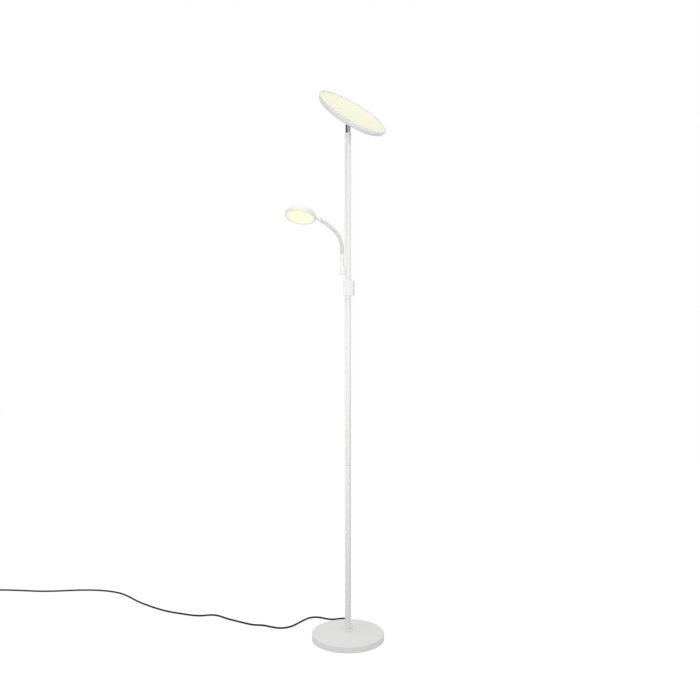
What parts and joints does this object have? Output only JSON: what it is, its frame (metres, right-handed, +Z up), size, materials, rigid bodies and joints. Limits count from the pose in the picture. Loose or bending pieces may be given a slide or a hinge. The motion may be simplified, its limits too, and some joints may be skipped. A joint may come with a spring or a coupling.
{
  "type": "torchiere floor lamp with reading light",
  "caption": "Slim white floor lamp: weighted round base, straight pole, tilting uplight dish and a small reading light on a flexible arm, with dimmer knobs and a mains lead.",
  "frame": {"origin": "centre of the base's underside, on the floor", "axes": "+Z up the pole, +X to the right in the picture, -X towards the reading arm, +Y away from the viewer, where the mains lead leaves the base"},
  "size_m": [1.6556, 0.6128, 1.7956],
  "materials": {
    "white_enamel": "smooth satin powder coat",
    "white_plastic": "smooth satin moulding",
    "white_sleeve": "soft sleeve over a flexible metal tube",
    "cast_iron": "rough casting, painted dark",
    "galvanised_steel": "zinc-plated sheet",
    "zinc_steel": "bright zinc plate",
    "chrome_steel": "polished",
    "brass": "turned",
    "nickel_brass": "nickel-plated brass",
    "raw_aluminium": "plain sheet",
    "grey_rubber": "matte",
    "black_plastic": "fine texture",
    "black_cord": "smooth flexible sheath",
    "clear_nylon": "natural nylon",
    "green_board": "varnished circuit board",
    "white_board": "white solder mask with light chips",
    "driver_case": "plain moulding",
    "lit_opal": "opal acrylic, lit from behind",
    "lit_opal_warm": "opal acrylic, lit from behind"
  },
  "bodies": {
    "stand": {"base_pad": "grey_rubber", "base_plate": "galvanised_steel", "plate_screws": "zinc_steel", "base_weight": "cast_iron", "base_cover": "white_enamel", "pole_stud": "zinc_steel", "stud_nut": "zinc_steel", "stud_washer": "zinc_steel", "foot_bush": "black_plastic", "pole_collar": "white_plastic", "pole_lower": "white_enamel", "coupler_lower": "zinc_steel", "pole_middle": "white_enamel", "coupler_upper": "zinc_steel", "pole_upper": "white_enamel", "pole_cap": "white_enamel", "swivel_washer": "clear_nylon", "supply_lead": "black_cord", "cord_gland": "black_cord", "dimmer_front": "white_plastic", "dimmer_back": "white_plastic", "dimmer_screws": "zinc_steel", "dimmer_board": "green_board", "control_uplight": "black_plastic", "control_reading": "black_plastic", "arm_bracket": "white_enamel", "arm_bracket_screw": "zinc_steel", "arm_tube": "white_enamel", "cord_run": "black_cord", "cord_coil": "black_cord", "cord_tie": "black_plastic", "plug_body": "black_plastic", "plug_pins": "nickel_brass"},
    "uplight_stem": {"swivel_stem": "chrome_steel", "swivel_nut": "brass"},
    "uplight_head": {"tilt_bracket": "chrome_steel", "tilt_bracket_screws": "zinc_steel", "tilt_bolt": "chrome_steel", "tilt_nut": "chrome_steel", "friction_washers": "clear_nylon", "uplight_dish": "white_enamel", "uplight_ring": "white_plastic", "uplight_diffuser": "lit_opal", "heat_plate": "raw_aluminium", "uplight_board": "white_board", "uplight_driver": "driver_case"},
    "uplight_knob": {"knob_uplight": "white_plastic"},
    "reading_knob": {"knob_reading": "white_plastic"},
    "arm_link_low": {"hose_lower": "white_sleeve"},
    "arm_link_high": {"hose_middle": "white_sleeve"},
    "arm_end": {"hose_upper": "white_sleeve", "neck_elbow": "white_enamel", "neck_clip": "zinc_steel"},
    "reading_head": {"reading_shell": "white_enamel", "reading_bezel": "white_plastic", "reading_diffuser": "lit_opal_warm", "reading_board": "white_board"}
  },
  "joints": [
    {"name": "uplight_swivel", "type": "hinge", "parent": "stand", "child": "uplight_stem", "pos_m": [0, 0, 1.6464], "axis": [0, 0, 1], "range_deg": [-170, 170]},
    {"name": "uplight_tilt", "type": "hinge", "parent": "uplight_stem", "child": "uplight_head", "pos_m": [0, 0, 1.685], "axis": [0.7022, 0.712, 0], "range_deg": [-42, 32]},
    {"name": "arm_bend_low", "type": "hinge", "parent": "stand", "child": "arm_link_low", "pos_m": [-0.02002, 0, 1.27932], "axis": [0, -1, 0], "range_deg": [-12, 25], "deforming": ["hose_lower"]},
    {"name": "arm_bend_side", "type": "hinge", "parent": "arm_link_low", "child": "arm_link_high", "pos_m": [-0.03649, 0, 1.3209], "axis": [0.809, 0, 0.5878], "range_deg": [-35, 35], "deforming": ["hose_middle"]},
    {"name": "arm_bend_high", "type": "hinge", "parent": "arm_link_high", "child": "arm_end", "pos_m": [-0.07115, 0, 1.35268], "axis": [0, -1, 0], "range_deg": [-20, 35], "deforming": ["hose_upper"]},
    {"name": "reading_head_roll", "type": "hinge", "parent": "arm_end", "child": "reading_head", "pos_m": [-0.09763, 0, 1.36943], "axis": [-0.989, 0, 0.1478], "range_deg": [-75, 75]},
    {"name": "uplight_dimmer_turn", "type": "hinge", "parent": "stand", "child": "uplight_knob", "pos_m": [0.018, 0, 1.1552], "axis": [1, 0, 0], "range_deg": [-200, 80]},
    {"name": "reading_dimmer_turn", "type": "hinge", "parent": "stand", "child": "reading_knob", "pos_m": [0.018, 0, 1.1308], "axis": [1, 0, 0], "range_deg": [-200, 80]}
  ]
}
